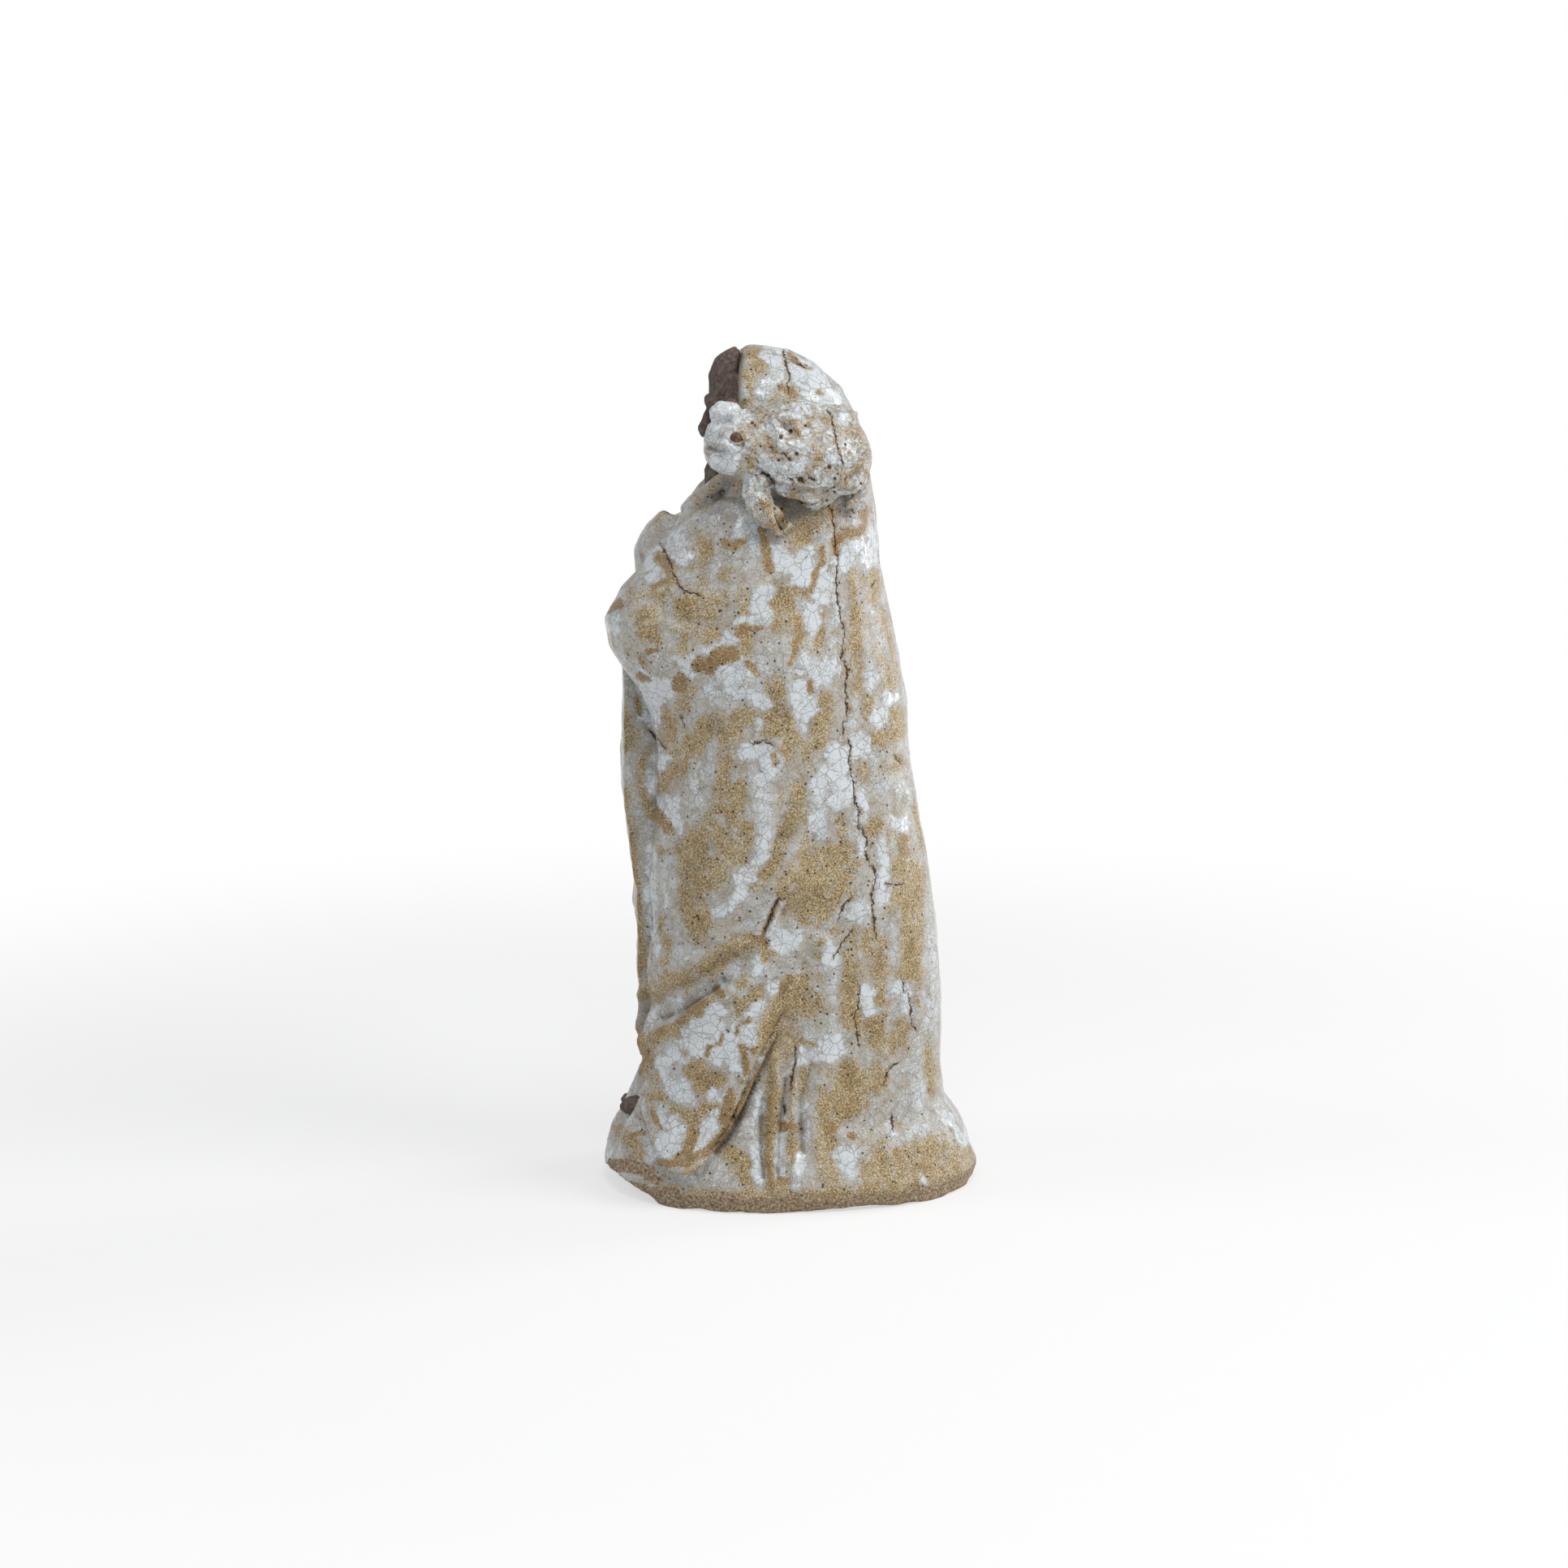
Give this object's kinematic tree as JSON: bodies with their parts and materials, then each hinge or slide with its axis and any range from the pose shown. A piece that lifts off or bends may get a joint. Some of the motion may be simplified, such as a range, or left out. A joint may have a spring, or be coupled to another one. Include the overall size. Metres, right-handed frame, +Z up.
{
  "type": "sage figurine",
  "caption": "Hollow stoneware figure of a standing bearded sage in a hooded cloak, with a warty toad on the left shoulder and a flared open foot.",
  "frame": {"origin": "on the ground plane, under the middle of the part's bounding box", "axes": "+Z up, the figure faces -Y, its left hand is towards +X"},
  "size_m": [0.1117, 0.1365, 0.3055],
  "materials": {
    "crackle_glaze": "glossy pale blue-grey crackle glaze, worn thin over sandy grogged stoneware",
    "bare_clay": "matt unglazed dark stoneware",
    "iron_clay": "half-gloss iron-brown pellet"
  },
  "bodies": {
    "root": {"back_half": "crackle_glaze", "front_half": "crackle_glaze", "hood_front": "crackle_glaze", "left_cloak": "crackle_glaze", "right_cloak": "crackle_glaze", "collar": "crackle_glaze", "toad_body": "crackle_glaze", "toad_left_foreleg": "crackle_glaze", "toad_right_foreleg": "crackle_glaze", "toad_left_hindleg": "crackle_glaze", "toad_right_hindleg": "crackle_glaze", "head": "bare_clay", "moustache": "bare_clay", "beard": "bare_clay", "left_foot": "bare_clay", "right_foot": "bare_clay", "toad_left_eye": "iron_clay", "toad_right_eye": "iron_clay"}
  },
  "joints": []
}
